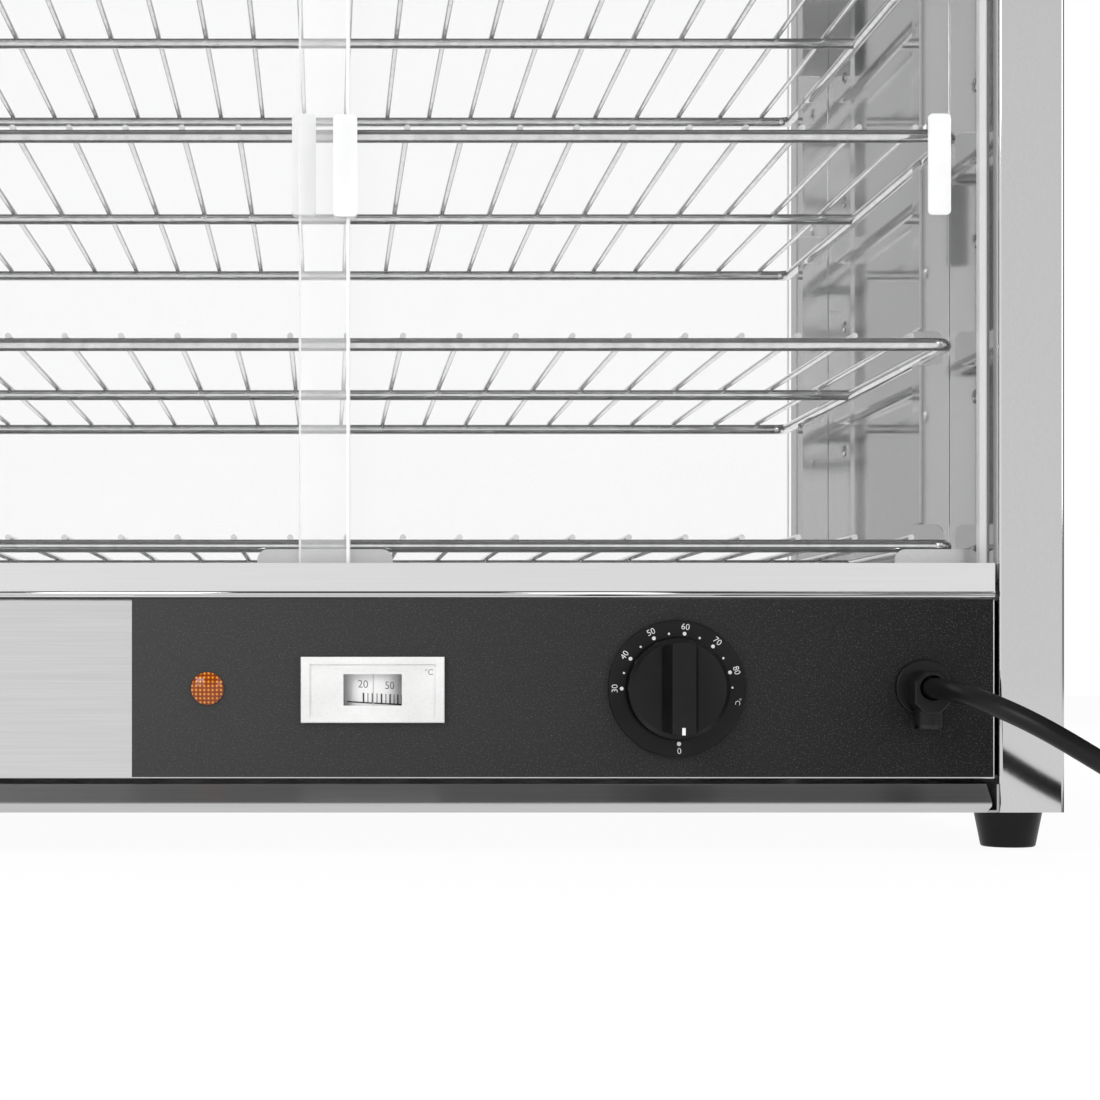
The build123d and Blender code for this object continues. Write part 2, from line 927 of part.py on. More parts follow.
def pilot_body():
    """Lamp holder through the fascia with two blade terminals."""
    seat = front - overlay
    far = front + lamp_body_length
    body = rod((lamp_x, seat, control_z), (lamp_x, far, control_z), lamp_body_radius)
    for side in (-1, 1):
        x = lamp_x + side * lamp_body_radius / 2
        blade = Box(blade_thickness, blade_length, blade_width)
        body += Pos(x, far + blade_length / 2, control_z) * blade
    return body


def meter_limits(width, height):
    """X and Z limits of a rectangle centred on the thermometer."""
    x = (meter_x - width / 2, meter_x + width / 2)
    z = (meter_z - height / 2, meter_z + height / 2)
    return x, z


def drum_centre():
    """Axis of the thermometer drum, in plan."""
    return meter_x, front + drum_setback + drum_radius


def thermometer_case():
    """White frame with a window, and the case behind it that carries the drum."""
    seat = front - overlay
    x, z = meter_limits(meter_width, meter_height)
    frame = block(x, (seat - meter_proud, seat), z)
    frame = fillet(frame.faces().sort_by(Axis.Y)[0].edges(), meter_edge)
    x, z = meter_limits(recess_width, recess_height)
    frame -= block(x, (seat - meter_proud, seat - meter_proud + recess_depth), z)
    x, z = meter_limits(case_width, case_height)
    case = block(x, (seat, front + case_depth), z)
    x, z = meter_limits(case_width - 2 * case_wall, case_height - 2 * case_wall)
    case -= block(x, (seat, front + case_depth - case_wall), z)
    centre_x, centre_y = drum_centre()
    window = block(
        (centre_x - window_width / 2, centre_x + window_width / 2),
        (seat - meter_proud, seat),
        (meter_z - window_height / 2, meter_z + window_height / 2),
    )
    low = meter_z - case_height / 2
    high = meter_z + case_height / 2
    pin_hole = rod((centre_x, centre_y, low), (centre_x, centre_y, high), drum_pin + pin_play)
    return frame + case - window - thermometer_window() - pin_hole


def thermometer_window():
    """Clear pane set in the rebate behind the window."""
    seat = front - overlay
    centre_x, _ = drum_centre()
    half_x = window_width / 2 + window_rebate
    half_z = window_height / 2 + window_rebate
    x = (centre_x - half_x, centre_x + half_x)
    return block(x, (seat - window_glass, seat), (meter_z - half_z, meter_z + half_z))


def thermometer_drum():
    """Scale drum on a vertical pin."""
    x, y = drum_centre()
    low = meter_z - drum_height / 2
    high = meter_z + drum_height / 2
    drum = rod((x, y, low), (x, y, high), drum_radius)
    pin_low = meter_z - case_height / 2
    pin_high = meter_z + case_height / 2
    return drum + rod((x, y, pin_low), (x, y, pin_high), drum_pin)


def gland_outline():
    """Oblong eight-sided section of the gland's clamp, in X and Z."""
    w, h, f = gland_width / 2, gland_height / 2, gland_facet
    points = [
        (w - f, -h), (w, f - h), (w, h - f), (w - f, h),
        (f - w, h), (-w, h - f), (-w, f - h), (f - w, -h),
    ]
    return Pos(gland_x, gland_z - gland_drop) * make_face(Polyline(*points, close=True))


def gland_body():
    """Cable gland: flange, threaded barrel, and the clamp with its screw boss."""
    seat = front - overlay
    base = seat - gland_flange
    face = front - gland_reach

    def turned(near, far, radius):
        return rod((gland_x, near, gland_z), (gland_x, far, gland_z), radius)

    flange = turned(base, seat, gland_flange_radius)
    flange = fillet(flange.edges().group_by(Axis.Y)[0], gland_edge)
    barrel = turned(seat, front + gland_barrel, gland_barrel_radius)
    clamp = along_y(gland_outline(), face, base)
    clamp = chamfer(clamp.faces().sort_by(Axis.Y)[0].edges(), gland_edge)
    boss_y = front - (gland_reach + gland_flange) / 2
    boss_low = gland_z - gland_drop - gland_height / 2 - gland_boss
    boss = rod((gland_x, boss_y, boss_low), (gland_x, boss_y, gland_z - gland_bore), gland_boss_radius)
    return flange + barrel + clamp + boss - turned(face, front - gland_seat, gland_bore)


def clamp_screw():
    """Slotted screw under the gland's boss."""
    y = front - (gland_reach + gland_flange) / 2
    top = gland_z - gland_drop - gland_height / 2 - gland_boss
    head = rod((gland_x, y, top - clamp_head), (gland_x, y, top), clamp_head_radius)
    head = fillet(head.edges().group_by(Axis.Z)[0], gland_edge)
    slot = Box(2 * clamp_head_radius, clamp_slot, clamp_head)
    return head - Pos(gland_x, y, top - clamp_head) * slot


def gland_locknut():
    """Hexagonal nut on the gland's barrel behind the fascia."""
    section = Pos(gland_x, gland_z) * RegularPolygon(locknut_radius, 6)
    nut = along_y(section, front + steel, front + steel + locknut_height)
    hole_radius = gland_barrel_radius + screw_play
    return nut - rod((gland_x, front, gland_z), (gland_x, front + gland_barrel, gland_z), hole_radius)


def terminal_block():
    """Three-way terminal block on the floor of the control box."""
    low = fascia_bottom + steel
    y = (front + terminal_y, front + terminal_y + terminal_depth)
    half = terminal_width / 2
    body = block((terminal_x - half, terminal_x + half), y, (low, low + terminal_height))
    top = low + terminal_height
    middle_y = sum(y) / 2
    for way in (-1, 0, 1):
        x = terminal_x + way * core_pitch
        body -= rod((x, middle_y, top - terminal_well), (x, middle_y, top), terminal_well_radius)
    return body


def wiring():
    """Three cores from the gland to the terminal block."""
    cores = []
    end_y = front + terminal_y
    end_z = fascia_bottom + steel + terminal_height / 2
    start_y = front + gland_barrel
    for way in (-1, 0, 1):
        x = terminal_x + way * core_pitch
        start_z = gland_z + way * core_spread
        mid_y = (start_y + end_y) / 2 + way * core_spread
        points = [
            (gland_x, start_y, start_z),
            (gland_x, mid_y, start_z),
            (x, mid_y, end_z),
            (x, end_y, end_z),
        ]
        cores.append(tube(points, core_radius, core_bend))
    return Compound(children=cores)


def corner_radii(points):
    """Radius at each corner: 0.45 of the shorter run over the tangent of half the turn."""
    radii = []
    for before, corner, after in zip(points, points[1:], points[2:]):
        first = Vector(*corner) - Vector(*before)
        second = Vector(*after) - Vector(*corner)
        half_turn = math.radians(first.get_angle(second)) / 2
        radii.append(0.45 * min(first.length, second.length) / math.tan(half_turn))
    return radii


def volume_ratio(piece, path):
    """Volume of a swept cord over its section times its length, which is 1 for a sound sweep."""
    return round(piece.volume / (math.pi * cord_radius**2 * path.length), 3)


def power_cord():
    """Free stretch of the cord, from inside the gland to the start of the coil."""
    radii = corner_radii(cord_route)
    print("cord radii", [round(radius, 1) for radius in radii])
    path = FilletPolyline(*cord_route, radius=radii)
    piece = sweep(Plane(origin=path @ 0, z_dir=path % 0) * Circle(cord_radius), path=path)
    print("free cord", round(path.length, 1), "volume ratio", volume_ratio(piece, path))
    return piece, path.length


def half_turn(y, height, radius, heading, rise):
    """Two quarter arcs, counterclockwise, that start at (coil_x, y) and rise by a height."""
    reach = math.hypot(radius, rise / 2)
    start = Vector(coil_x, y, height)
    middle = start + Vector(heading * reach, heading * radius, rise / 2)
    end = start + Vector(0, 2 * heading * radius, rise)
    first = Edge.make_tangent_arc(start, Vector(heading, 0, 0), middle)
    return [first, Edge.make_tangent_arc(middle, first % 1, end)], end


def coil_path():
    """Path of the coil: in on the table, up a layer, out again, and up to the plug."""
    radii = [coil_radius - index * turn_pitch / 2 for index in range(inner_half_turns)]
    climb = coil_radius - inner_half_turns * turn_pitch / 2
    radii.append(climb)
    radii += [climb + (index + 1) * turn_pitch / 2 for index in range(outer_half_turns)]
    end = Vector(coil_x, coil_front, floor_z)
    edges = [Edge.make_line(end - Vector(cord, 0, 0), end)]
    heading = 1
    for index, radius in enumerate(radii):
        rise = layer_pitch if index == inner_half_turns else 0
        arcs, end = half_turn(end.Y, end.Z, radius, heading, rise)
        edges += arcs
        heading = -heading
    side = end + Vector(coil_radius, coil_radius, 0)
    edges.append(Edge.make_tangent_arc(end, Vector(1, 0, 0), side))
    middle = side + Vector(0, plug_rise_run / 2, plug_rise / 2)
    edges.append(Edge.make_tangent_arc(side, Vector(0, 1, 0), middle))
    top = side + Vector(0, plug_rise_run, plug_rise)
    edges.append(Edge.make_tangent_arc(middle, edges[-1] % 1, top))
    edges.append(Edge.make_line(top, top + Vector(0, cord, 0)))
    return Wire(edges)


def self_gap(path, samples=900):
    """Least clear distance between parts of the coil that aren't next to each other."""
    points = [path @ (index / samples) for index in range(samples + 1)]
    step = path.length / samples
    skip = math.ceil(neighbour_span * cord / step)
    least = math.inf
    for index, point in enumerate(points):
        for other in points[index + skip:]:
            least = min(least, (other - point).length)
    return least - cord


def cord_coil():
    """The rest of the cord, wound in two layers."""
    path = coil_path()
    piece = sweep(Plane(origin=path @ 0, z_dir=path % 0) * Circle(cord_radius), path=path)
    print("coil", round(path.length, 1), "self gap", round(self_gap(path), 2))
    print("volume ratio", volume_ratio(piece, path))
    return piece, path.length, path @ 1


def plug_body(start):
    """Round two-pin plug lying beside the coil, with its tapered relief."""
    x, y, z = start
    relief = Pos(x, y + plug_relief_length / 2, z) * Rot(-90, 0, 0)
    relief *= Cone(plug_relief_start, plug_relief_radius, plug_relief_length)
    grip_start = y + plug_relief_length
    grip_end = y + plug_length + plug_relief_length - plug_disc
    grip = Pos(x, (grip_start + grip_end) / 2, z) * Rot(-90, 0, 0)
    grip *= Cone(plug_grip_start, plug_grip_radius, grip_end - grip_start)
    disc = rod((x, grip_end, z), (x, grip_end + plug_disc, z), plug_radius)
    disc = fillet(disc.edges().filter_by(GeomType.CIRCLE), plug_edge)
    return relief + grip + disc


def plug_pins(start):
    """Two round pins of the plug."""
    x, y, z = start
    face = y + plug_relief_length + plug_length
    pins = []
    for side in (-1, 1):
        pin_x = x + side * plug_pin_spacing / 2
        pin = rod((pin_x, face, z), (pin_x, face + plug_pin_length, z), plug_pin_radius)
        pins.append(fillet(pin.edges().group_by(Axis.Y)[-1], plug_pin_tip))
    return Compound(children=pins)


free_cord, free_length = power_cord()
coil, coil_length, coil_end = cord_coil()
print("whole cord", round(free_length + coil_length, 1), "of", cord_length)

parts = {
    "side_panel_right": side_panel(),
    "side_panel_left": mirrored(side_panel()),
    "wall_liner_right": wall_liner(),
    "wall_liner_left": mirrored(wall_liner()),
    "base_rail_right": base_rail(),
    "base_rail_left": mirrored(base_rail()),
    "front_fascia": front_fascia(),
    "fascia_overlay": fascia_overlay(),
    "rear_fascia": rear_fascia(),
    "control_box": control_box(),
    "heat_deflector": heat_deflector(),
    "front_sill_track": front_sill(),
    "front_head_track": front_head(),
    "rear_sill_channel": rear_channel(sill_bottom, sill_top, groove_floor, sill_top),
    "rear_head_channel": rear_channel(head_bottom, ceiling, head_bottom, door_top + glass_play),
    "rear_glass": rear_glass(),
    "canopy": canopy(),
    "ceiling_liner": ceiling_liner(),
    "left_door_glass": door(left_edges(), outer_pane),
    "right_door_glass": door(right_edges(), inner_pane),
    "left_door_grips": grips(
        left_edges(), 1, outer_pane, thick_cheek, grip_bottom - left_grip_drop
    ),
    "right_door_grips": grips(reversed(right_edges()), -1, inner_pane, thin_cheek, grip_bottom),
    "rack_post_front_right": post(0),
    "rack_post_front_left": mirrored(post(0)),
    "rack_post_rear_right": post(post_spacing),
    "rack_post_rear_left": mirrored(post(post_spacing)),
    "post_rivets": rivets(),
    "tray_runner_right": tray_runner(),
    "tray_runner_left": mirrored(tray_runner()),
    "crumb_tray": crumb_tray(),
    "heating_element": heating_element(),
    "element_hangers": element_hangers(),
    "thermostat_body": thermostat_body(),
    "thermostat_spindle": thermostat_spindle(),
    "dial_ring": dial_ring(),
    "thermostat_knob": thermostat_knob(),
    "pilot_lens": pilot_lens(),
    "pilot_body": pilot_body(),
    "thermometer_case": thermometer_case(),
    "thermometer_window": thermometer_window(),
    "thermometer_drum": thermometer_drum(),
    "capillary_probes": Compound(children=[probe(dial_x), probe(meter_x)]),
    "gland_body": gland_body(),
    "gland_hardware": Compound(children=[clamp_screw(), gland_locknut()]),
    "terminal_block": terminal_block(),
    "wiring": wiring(),
    "power_cord": free_cord,
    "cord_coil": coil,
    "plug_body": plug_body(coil_end),
    "plug_pins": plug_pins(coil_end),
}

plain_rack = rack()
for number, (level, shift) in enumerate(zip(rack_levels, rack_shifts), start=1):
    parts[f"rack_{number}"] = plain_rack.moved(Location((shift, 0, level)))

for corner, (x, y) in foot_places().items():
    parts[f"foot_{corner}"] = foot(x, y)
parts["foot_screws"] = Compound(children=[foot_screw(x, y) for x, y in foot_places().values()])

for name, shape in parts.items():
    export_step(shape, f"parts/{name}.step")
print(len(parts), "sub-parts")
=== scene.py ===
import json
import math

import bmesh
import bpy
from mathutils import Matrix, Vector


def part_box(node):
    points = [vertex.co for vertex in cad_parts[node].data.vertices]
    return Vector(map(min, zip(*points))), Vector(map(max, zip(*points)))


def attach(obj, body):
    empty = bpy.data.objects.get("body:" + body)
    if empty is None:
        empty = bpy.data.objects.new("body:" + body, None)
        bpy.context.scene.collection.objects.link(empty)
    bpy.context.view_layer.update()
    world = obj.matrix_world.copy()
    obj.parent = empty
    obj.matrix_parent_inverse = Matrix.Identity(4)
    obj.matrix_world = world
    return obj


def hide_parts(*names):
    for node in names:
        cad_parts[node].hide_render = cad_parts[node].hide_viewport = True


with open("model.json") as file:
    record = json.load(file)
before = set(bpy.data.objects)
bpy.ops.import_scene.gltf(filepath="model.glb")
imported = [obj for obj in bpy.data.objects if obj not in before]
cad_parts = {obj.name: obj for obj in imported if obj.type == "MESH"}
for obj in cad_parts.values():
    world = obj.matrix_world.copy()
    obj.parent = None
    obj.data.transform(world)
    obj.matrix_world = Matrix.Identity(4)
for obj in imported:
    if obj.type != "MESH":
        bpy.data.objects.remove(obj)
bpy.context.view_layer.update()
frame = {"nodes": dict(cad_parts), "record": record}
nodes = frame["nodes"]
slot_of = {part["node"]: part["material_slot"] for part in frame["record"]["subparts"]}
scene = bpy.context.scene
scene.view_settings.view_transform = "Standard"

# Lengths are in millimetres in the row frame, and MM turns them into metres.
MM = 0.001
FRONT = -227.0
OVERLAY_FACE = FRONT - 0.4
CONTROL_Z = 72.8


def mm(*values):
    """Millimetres to metres."""
    return Vector([value * MM for value in values])


# Camera: a level view of the operator's side, off-centre as the photograph's crop is
FOCAL_PX = 2404.0
IMAGE_PX = 1100.0
SENSOR = 36.0
VIEW_CENTRE = (325.0, 669.0)
CAMERA_DISTANCE = 1072.0
CAMERA_Z = 81.5

camera_data = bpy.data.cameras.new("camera")
camera_data.sensor_width = SENSOR
camera_data.lens = FOCAL_PX / IMAGE_PX * SENSOR
camera_data.shift_x = 0.5 - VIEW_CENTRE[0] / IMAGE_PX
camera_data.shift_y = VIEW_CENTRE[1] / IMAGE_PX - 0.5
camera = bpy.data.objects.new("camera", camera_data)
camera.location = mm(0, FRONT - CAMERA_DISTANCE, CAMERA_Z)
camera.rotation_euler = (math.radians(90), 0, 0)
scene.collection.objects.link(camera)
scene.camera = camera


class Tree:
    """A node tree, with the few kinds of node and link that this scene needs."""

    def __init__(self, tree):
        self.tree = tree

    def node(self, kind, **settings):
        made = self.tree.nodes.new(kind)
        for key, value in settings.items():
            setattr(made, key, value)
        return made

    def link(self, output, target):
        self.tree.links.new(output, target)

    def separate(self, vector):
        """The X, Y and Z sockets of a vector."""
        made = self.node("ShaderNodeSeparateXYZ")
        self.link(vector, made.inputs["Vector"])
        return made.outputs

    def ramp(self, socket, stops):
        """Colours over a value, from (place, colour) pairs."""
        made = self.node("ShaderNodeValToRGB")
        elements = made.color_ramp.elements
        while len(elements) < len(stops):
            elements.new(1.0)
        for element, (place, color) in zip(elements, stops):
            element.position = place
            element.color = (*color, 1)
        self.link(socket, made.inputs["Fac"])
        return made.outputs["Color"]

    def math(self, operation, *values):
        """One Math node over sockets and numbers."""
        made = self.node("ShaderNodeMath", operation=operation)
        for place, value in zip(made.inputs, values):
            if isinstance(value, (int, float)):
                place.default_value = value
            else:
                self.link(value, place)
        return made.outputs["Value"]


class Nodes(Tree):
    """A node material around one Principled shader."""

    def __init__(self, name, color, roughness, **inputs):
        self.material = bpy.data.materials.new(name)
        self.material.use_nodes = True
        super().__init__(self.material.node_tree)
        self.shader = self.tree.nodes["Principled BSDF"]
        self.shader.inputs["Base Color"].default_value = (*color, 1)
        self.shader.inputs["Roughness"].default_value = roughness
        for key, value in inputs.items():
            self.shader.inputs[key.replace("_", " ")].default_value = value

    def coordinates(self, scale=(1.0, 1.0, 1.0)):
        """Place in the row frame, stretched per axis."""
        place = self.node("ShaderNodeTexCoord")
        mapping = self.node("ShaderNodeMapping")
        mapping.inputs["Scale"].default_value = scale
        self.link(place.outputs["Object"], mapping.inputs["Vector"])
        return mapping.outputs["Vector"]

    def noise(self, scale, detail=3.0, roughness=0.55):
        """Noise of so many cycles per metre along each axis."""
        texture = self.node("ShaderNodeTexNoise")
        texture.inputs["Scale"].default_value = 1.0
        texture.inputs["Detail"].default_value = detail
        texture.inputs["Roughness"].default_value = roughness
        self.link(self.coordinates(scale), texture.inputs["Vector"])
        return texture.outputs["Fac"]

    def mix(self, factor, first, second):
        """Mix of two colours by a socket."""
        made = self.node("ShaderNodeMix", data_type="RGBA")
        for place, value in ((0, factor), (6, first), (7, second)):
            if isinstance(value, tuple):
                made.inputs[place].default_value = (*value, 1)
            else:
                self.link(value, made.inputs[place])
        return made.outputs[2]

    def color(self, socket):
        self.link(socket, self.shader.inputs["Base Color"])
        return self

    def rough(self, socket, limits):
        """Roughness between two limits over a socket."""
        spread = self.node("ShaderNodeMapRange")
        spread.inputs["To Min"].default_value, spread.inputs["To Max"].default_value = limits
        self.link(socket, spread.inputs["Value"])
        self.link(spread.outputs["Result"], self.shader.inputs["Roughness"])
        return self

    def bump(self, socket, strength, distance):
        """Surface relief of so many millimetres."""
        relief = self.node("ShaderNodeBump")
        relief.inputs["Strength"].default_value = strength
        relief.inputs["Distance"].default_value = distance * MM
        self.link(socket, relief.inputs["Height"])
        self.link(relief.outputs["Normal"], self.shader.inputs["Normal"])
        return self


def grey(value):
    return (value, value, value)


def steel(name, brush, tones, roughness, relief=0.08):
    """Brushed stainless steel; brush is the cycles per metre along each axis."""
    dark, light = tones
    made = Nodes(name, grey(light), roughness[0], Metallic=1.0)
    streaks = made.noise(brush, detail=5.0)
    broad = made.noise((3.0, 3.0, 3.0), detail=1.0)
    tone = made.ramp(streaks, [(0.3, grey(dark)), (0.7, grey(light))])
    made.color(made.mix(made.math("MULTIPLY", broad, 0.25), tone, grey(light * 0.93)))
    return made.rough(streaks, roughness).bump(streaks, relief, 0.015).material


ALONG_X = (14.0, 900.0, 1400.0)
ALONG_Y = (900.0, 14.0, 900.0)
FINE = (1500.0, 1500.0, 600.0)
COARSE = (90.0, 90.0, 90.0)
SATIN = (0.24, 0.36)

satin_along_x = steel("satin_steel_along_x", ALONG_X, (0.60, 0.68), SATIN)
side_steel = steel("side_steel", FINE, (0.58, 0.61), (0.05, 0.10), relief=0.02)
# The sill's steel has lighter tones than the other satin steel: painted light, standing in for
# the light the sill catches.
lit_sill_steel = steel("lit_sill_steel", ALONG_X, (0.74, 0.78), SATIN)
satin_along_y = steel("satin_steel_along_y", ALONG_Y, (0.60, 0.67), (0.26, 0.38))


def lip_steel():
    """Polished sheet brushed along X, which smears what it mirrors up and down only."""
    made = Nodes("tray_steel", grey(0.6), 0.34, Metallic=1.0, Anisotropic=0.9)
    across = made.node("ShaderNodeCombineXYZ")
    across.inputs["Y"].default_value = 1.0
    across.inputs["Z"].default_value = 1.0
    made.link(across.outputs["Vector"], made.shader.inputs["Tangent"])
    streaks = made.noise(ALONG_X, detail=5.0)
    made.color(made.ramp(streaks, [(0.3, grey(0.54)), (0.7, grey(0.61))]))
    return made.bump(streaks, 0.04, 0.01).material


galvanised = steel("galvanised_steel", COARSE, (0.38, 0.52), (0.38, 0.55))


def polished(name, wave, tone):
    """Mirror-polished sheet with slight waviness and faint handling marks."""
    made = Nodes(name, grey(tone), 0.06, Metallic=1.0)
    ripple = made.noise(wave, detail=1.0)
    smudge = made.noise((22.0, 22.0, 9.0), detail=4.0)
    made.color(made.ramp(smudge, [(0.25, grey(tone * 0.93)), (0.75, grey(tone))]))
    return made.rough(smudge, (0.04, 0.12)).bump(ripple, 0.3, 0.25).material


polished_wall = polished("polished_wall", (4.0, 9.0, 12.0), 0.62)
polished_post = polished("polished_post", (14.0, 14.0, 5.0), 0.62)


def wire_chrome():
    """Bright plated wire with faint spots."""
    made = Nodes("wire_chrome", grey(0.70), 0.08, Metallic=1.0)
    spots = made.noise((160.0, 160.0, 160.0), detail=4.0)
    made.color(made.ramp(spots, [(0.3, grey(0.6)), (0.62, grey(0.76))]))
    return made.rough(spots, (0.05, 0.16)).bump(spots, 0.08, 0.03).material


OVERLAY_LEFT = -86.0
OVERLAY_RIGHT = 298.0


def speckled_black():
    """Fine speckled coat, with painted glare: a little lighter towards its left end."""
    made = Nodes("speckled_black", grey(0.02), 0.5, Specular_IOR_Level=0.16)
    grain = made.noise((1500.0, 1500.0, 1500.0), detail=2.0, roughness=0.7)
    # Painted glare: the coat's colour runs lighter at the left end, where light reflects off it,
    # and darker to the right.
    across = made.node("ShaderNodeMapRange")
    across.inputs["From Min"].default_value = OVERLAY_LEFT * MM
    across.inputs["From Max"].default_value = OVERLAY_RIGHT * MM
    made.link(made.separate(made.coordinates())["X"], across.inputs["Value"])
    tone = made.ramp(across.outputs["Result"], [(0.0, grey(0.048)), (1.0, grey(0.006))])
    speck = made.ramp(grain, [(0.55, grey(0.0)), (0.72, grey(1.0))])
    made.color(made.mix(made.math("MULTIPLY", speck, 0.5), tone, grey(0.13)))
    return made.rough(grain, (0.42, 0.62)).bump(grain, 0.35, 0.05).material


def moulded(name, color, roughness, relief, scale=900.0, **inputs):
    """Moulded plastic or rubber with a fine grained surface."""
    made = Nodes(name, color, roughness[0], **inputs)
    grain = made.noise((scale,) * 3, detail=3.0)
    cloud = made.noise((40.0,) * 3, detail=2.0)
    lighter = tuple(min(1.0, c * 1.12 + 0.004) for c in color)
    made.color(made.ramp(cloud, [(0.3, color), (0.7, lighter)]))
    return made.rough(grain, roughness).bump(grain, relief, 0.04).material


DULL = {"Specular_IOR_Level": 0.2}
PRINTED = (0.45, 0.6)
black_plastic = moulded("black_plastic", grey(0.005), (0.26, 0.36), 0.12, **DULL)
dial_black = moulded("dial_black", grey(0.004), (0.3, 0.42), 0.15, **DULL)
rubber = moulded("rubber", grey(0.005), (0.3, 0.45), 0.25, **DULL)
cord_rubber = moulded("cord_rubber", grey(0.007), (0.3, 0.42), 0.1, scale=1400.0, **DULL)
white_plastic = moulded("white_plastic", (0.76, 0.76, 0.755), (0.24, 0.32), 0.03)
# The scale drum is white, and its colour is set lighter still than the white plastic: painted
# light, lifting it out of the shade inside the window.
lit_drum_white = moulded("lit_drum_white", (0.93, 0.93, 0.925), (0.45, 0.55), 0.02)
mark_white = moulded("mark_white", (0.80, 0.80, 0.79), PRINTED, 0.05)
mark_grey = moulded("mark_grey", grey(0.10), PRINTED, 0.05)
mark_black = moulded("mark_black", grey(0.012), PRINTED, 0.05)
hairline_grey = moulded("hairline_grey", grey(0.45), (0.3, 0.4), 0.02)
insulation = moulded("wire_insulation", (0.30, 0.22, 0.05), (0.4, 0.5), 0.05)
grip_plastic = moulded("grip_plastic", (0.94, 0.945, 0.945), (0.24, 0.36), 0.04, Alpha=0.84)


def metal(name, color, roughness, scale):
    """Plain metal with small stains."""
    made = Nodes(name, color, roughness[0], Metallic=1.0)
    stain = made.noise((scale,) * 3, detail=4.0)
    darker = tuple(c * 0.7 for c in color)
    made.color(made.ramp(stain, [(0.35, darker), (0.65, color)]))
    return made.rough(stain, roughness).bump(stain, 0.1, 0.03).material


brass = metal("brass", (0.72, 0.53, 0.25), (0.2, 0.35), 300.0)
sheath = metal("heater_sheath", (0.20, 0.185, 0.175), (0.35, 0.55), 120.0)
dark_screw = metal("dark_screw", grey(0.045), (0.25, 0.4), 300.0)


FACET = 1.85


def amber():
    """Amber lens with a grid of facets, with painted glints: the colour is lighter on a grid of
    spots and darker between them.
    """
    made = Nodes("amber_lens", (0.5, 0.11, 0.004), 0.16, Transmission_Weight=0.15)
    place = made.separate(made.coordinates())
    waves = []
    for name in ("X", "Z"):
        turns = made.math("MULTIPLY", place[name], 2 * math.pi / (FACET * MM))
        waves.append(made.math("COSINE", turns))
    dots = made.math("MULTIPLY", made.math("ADD", waves[0], waves[1]), 0.5)
    # Painted glints and shade: the amber lighter on the facet grid's spots and darker between
    # them; the bump gives the facets' relief.
    painted_facet_light = made.ramp(
        dots,
        [(0.0, (0.30, 0.045, 0.002)), (0.35, (0.52, 0.12, 0.004)), (0.7, (0.9, 0.36, 0.03))],
    )
    return made.color(painted_facet_light).bump(dots, 0.3, 0.15).material


CUT_EDGE = 0.6
EDGE_COSINE = 0.9


def pane(name, tint, veil, painted_glints=(), gloss=0.6):
    """Clear pane: nearly invisible face on, with reflections at a slant, pale cut edges and
    painted highlight strips.

    Each strip, (low, high, strength), is a painted highlight: a whitish upright strip between two
    X positions in metres, where an edge of the pane or the overlap of two panes catches light.
    """
    made = Nodes(name, tint, 0.03)
    slant = made.math("POWER", made.node("ShaderNodeLayerWeight").outputs["Facing"], 5.0)
    sheen = made.math("MULTIPLY_ADD", slant, 0.8, 0.04)
    film = made.math("ADD", made.math("MULTIPLY", sheen, gloss), veil)
    normal = made.separate(made.node("ShaderNodeNewGeometry").outputs["Normal"])
    edge = made.math("LESS_THAN", made.math("ABSOLUTE", normal["Y"]), EDGE_COSINE)
    white = made.math("MULTIPLY", edge, CUT_EDGE)
    x = made.separate(made.coordinates())["X"]
    # Painted highlights: whitish strips laid on the pane between given X positions.
    for low, high, strength in painted_glints:
        off = made.math("ABSOLUTE", made.math("SUBTRACT", x, (low + high) / 2))
        inside = made.math("LESS_THAN", off, (high - low) / 2)
        white = made.math("MAXIMUM", white, made.math("MULTIPLY", inside, strength))
    smear = made.noise((5.0, 5.0, 3.0), detail=2.0)
    body = made.ramp(smear, [(0.3, tint), (0.7, tuple(c * 0.97 for c in tint))])
    whitened = made.ramp(white, [(0.0, grey(0.0)), (0.3, grey(1.0))])
    made.color(made.mix(whitened, body, grey(0.95)))
    made.link(made.math("MAXIMUM", film, white), made.shader.inputs["Alpha"])
    return made.material


GLASS_TINT = (0.88, 0.90, 0.895)
VEIL = 0.015
left_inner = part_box("left_door_glass")[1][0]
right_inner, right_outer = (corner[0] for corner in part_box("right_door_glass"))
# Painted highlights on the door panes: bright strips along their edges and over the overlap of
# the two panes.
left_painted_glints = [(left_inner - 1.7 * MM, left_inner, 0.85), (right_inner, left_inner, 0.22)]
right_painted_glints = [
    (right_inner, right_inner + 1.0 * MM, 0.7),
    (right_outer - 3.5 * MM, right_outer, 0.6),
]
glass = pane("glass", GLASS_TINT, VEIL)
left_glass = pane("left_glass", GLASS_TINT, VEIL, left_painted_glints)
right_glass = pane("right_glass", GLASS_TINT, VEIL, right_painted_glints)
window_glass = pane("window_glass", grey(0.9), 0.0, gloss=0.2)

